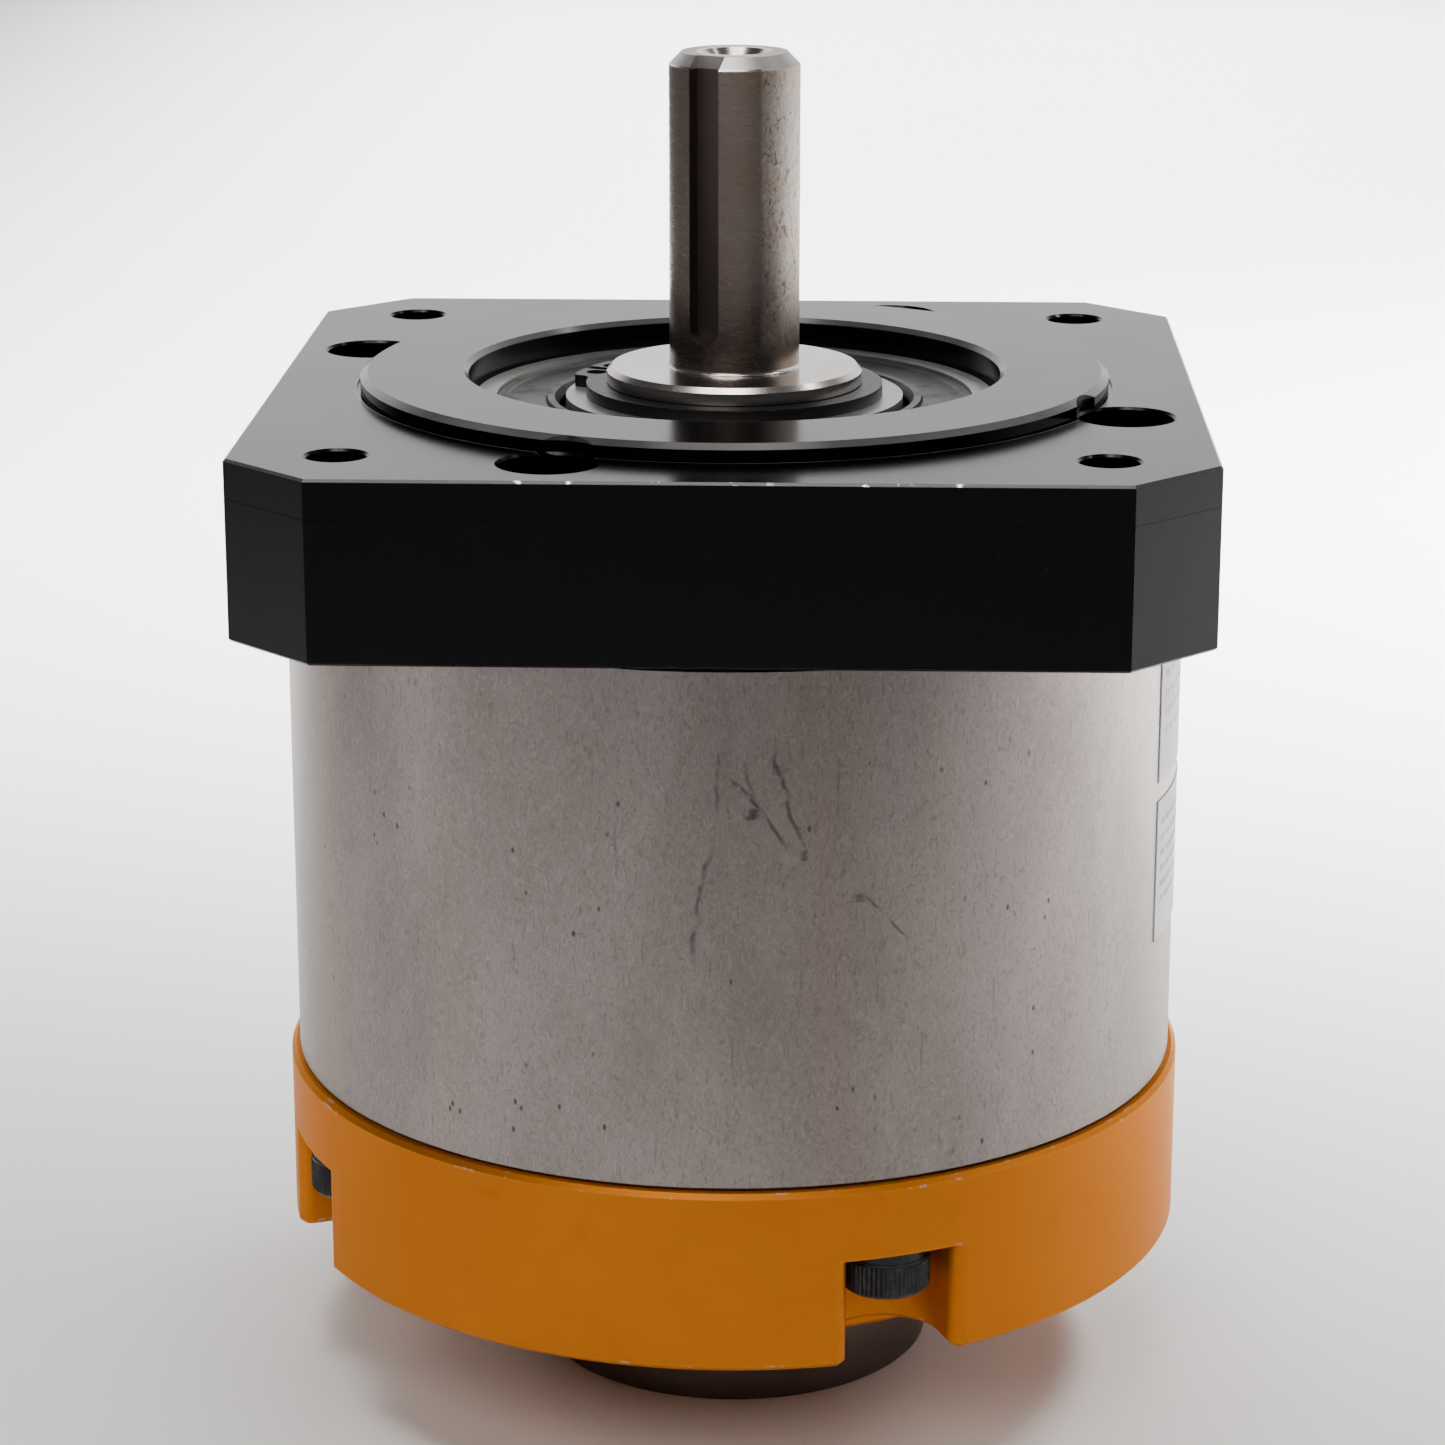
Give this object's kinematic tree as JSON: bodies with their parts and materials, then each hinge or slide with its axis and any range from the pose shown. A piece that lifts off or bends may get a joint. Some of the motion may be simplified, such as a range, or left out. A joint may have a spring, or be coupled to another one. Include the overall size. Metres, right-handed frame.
{
  "type": "inline gear reducer",
  "caption": "Inline planetary gear reducer with a square output flange, keyed output shaft, round ring gear housing and clamping input hub.",
  "frame": {"origin": "centre of the output flange's mounting face, on the shaft axis", "axes": "+Z out along the output shaft, +X and +Y square to the flange's sides"},
  "size_m": [0.09, 0.09, 0.1319],
  "materials": {
    "black_anodised": "black anodised, satin",
    "ground_steel": "ground, lightly stained",
    "orange_anodised": "bead blasted, orange-gold anodised",
    "shaft_steel": "turned and ground, lightly tarnished",
    "machined_steel": "fine turned",
    "collar_steel": "dark turned steel",
    "gear_steel": "ground teeth",
    "bearing_steel": "polished",
    "black_oxide": "black oxide",
    "bronze": "sintered bronze",
    "cage_polymer": "glass filled nylon",
    "black_rubber": "moulded nitrile",
    "label_film": "matt white film"
  },
  "bodies": {
    "housing": {"output_flange": "black_anodised", "ring_gear_housing": "ground_steel", "input_housing": "orange_anodised", "flange_screws": "black_oxide", "input_housing_screws": "black_oxide", "input_lock_washers": "black_oxide", "flange_o_ring": "black_rubber", "input_housing_o_ring": "black_rubber", "upper_label": "label_film", "lower_label": "label_film", "front_bearing_outer_ring": "bearing_steel", "front_bearing_outer_seal": "black_rubber", "front_bearing_inner_seal": "black_rubber", "rear_bearing_outer_ring": "bearing_steel", "input_bearing_outer_ring": "bearing_steel", "input_bearing_inner_seal": "black_rubber", "input_bearing_outer_seal": "black_rubber", "housing_retaining_ring": "black_oxide"},
    "output": {"output_shaft": "shaft_steel", "carrier_rear_plate": "machined_steel", "carrier_screws": "black_oxide", "planet_thrust_washers": "bronze", "planet_pin_1": "bearing_steel", "planet_pin_2": "bearing_steel", "planet_pin_3": "bearing_steel", "front_bearing_inner_ring": "bearing_steel", "rear_bearing_inner_ring": "bearing_steel", "shaft_retaining_ring": "black_oxide"},
    "input": {"input_sun_shaft": "machined_steel", "clamp_collar": "collar_steel", "clamp_screw": "black_oxide", "input_bearing_inner_ring": "bearing_steel", "hub_retaining_ring": "black_oxide"},
    "front_ball_set": {"front_bearing_balls": "bearing_steel", "front_bearing_cage": "cage_polymer"},
    "rear_ball_set": {"rear_bearing_balls": "bearing_steel", "rear_bearing_cage": "cage_polymer"},
    "input_ball_set": {"input_bearing_balls": "bearing_steel", "input_bearing_cage": "cage_polymer"},
    "planet_1": {"planet_gear_1": "gear_steel"},
    "needle_set_1": {"planet_needles_1": "bearing_steel"},
    "planet_2": {"planet_gear_2": "gear_steel"},
    "needle_set_2": {"planet_needles_2": "bearing_steel"},
    "planet_3": {"planet_gear_3": "gear_steel"},
    "needle_set_3": {"planet_needles_3": "bearing_steel"}
  },
  "joints": [
    {"name": "output_turn", "type": "hinge", "parent": "housing", "child": "output", "pos_m": [0, 0, 0], "axis": [0, 0, 1], "continuous": true},
    {"name": "input_turn", "type": "hinge", "parent": "housing", "child": "input", "pos_m": [0, 0, -0.085], "axis": [0, 0, 1], "continuous": true},
    {"name": "front_ball_set_turn", "type": "hinge", "parent": "housing", "child": "front_ball_set", "pos_m": [0, 0, -0.00865], "axis": [0, 0, 1], "continuous": true},
    {"name": "rear_ball_set_turn", "type": "hinge", "parent": "housing", "child": "rear_ball_set", "pos_m": [0, 0, -0.0261], "axis": [0, 0, 1], "continuous": true},
    {"name": "input_ball_set_turn", "type": "hinge", "parent": "housing", "child": "input_ball_set", "pos_m": [0, 0, -0.0761], "axis": [0, 0, 1], "continuous": true},
    {"name": "planet_1_turn", "type": "hinge", "parent": "output", "child": "planet_1", "pos_m": [0, 0.02025, -0.0495], "axis": [0, 0, 1], "continuous": true},
    {"name": "needle_set_1_turn", "type": "hinge", "parent": "output", "child": "needle_set_1", "pos_m": [0, 0.02025, -0.0495], "axis": [0, 0, 1], "continuous": true},
    {"name": "planet_2_turn", "type": "hinge", "parent": "output", "child": "planet_2", "pos_m": [-0.01754, -0.01013, -0.0495], "axis": [0, 0, 1], "continuous": true},
    {"name": "needle_set_2_turn", "type": "hinge", "parent": "output", "child": "needle_set_2", "pos_m": [-0.01754, -0.01013, -0.0495], "axis": [0, 0, 1], "continuous": true},
    {"name": "planet_3_turn", "type": "hinge", "parent": "output", "child": "planet_3", "pos_m": [0.01754, -0.01013, -0.0495], "axis": [0, 0, 1], "continuous": true},
    {"name": "needle_set_3_turn", "type": "hinge", "parent": "output", "child": "needle_set_3", "pos_m": [0.01754, -0.01013, -0.0495], "axis": [0, 0, 1], "continuous": true}
  ],
  "couplings": [
    {"joint": "input_turn", "follows": "output_turn", "ratio": 5},
    {"joint": "front_ball_set_turn", "follows": "output_turn", "ratio": 0.39688},
    {"joint": "rear_ball_set_turn", "follows": "output_turn", "ratio": 0.416},
    {"joint": "input_ball_set_turn", "follows": "output_turn", "ratio": 2.08},
    {"joint": "planet_1_turn", "follows": "output_turn", "ratio": -2.6667},
    {"joint": "needle_set_1_turn", "follows": "output_turn", "ratio": -1.5556},
    {"joint": "planet_2_turn", "follows": "output_turn", "ratio": -2.6667},
    {"joint": "needle_set_2_turn", "follows": "output_turn", "ratio": -1.5556},
    {"joint": "planet_3_turn", "follows": "output_turn", "ratio": -2.6667},
    {"joint": "needle_set_3_turn", "follows": "output_turn", "ratio": -1.5556}
  ]
}
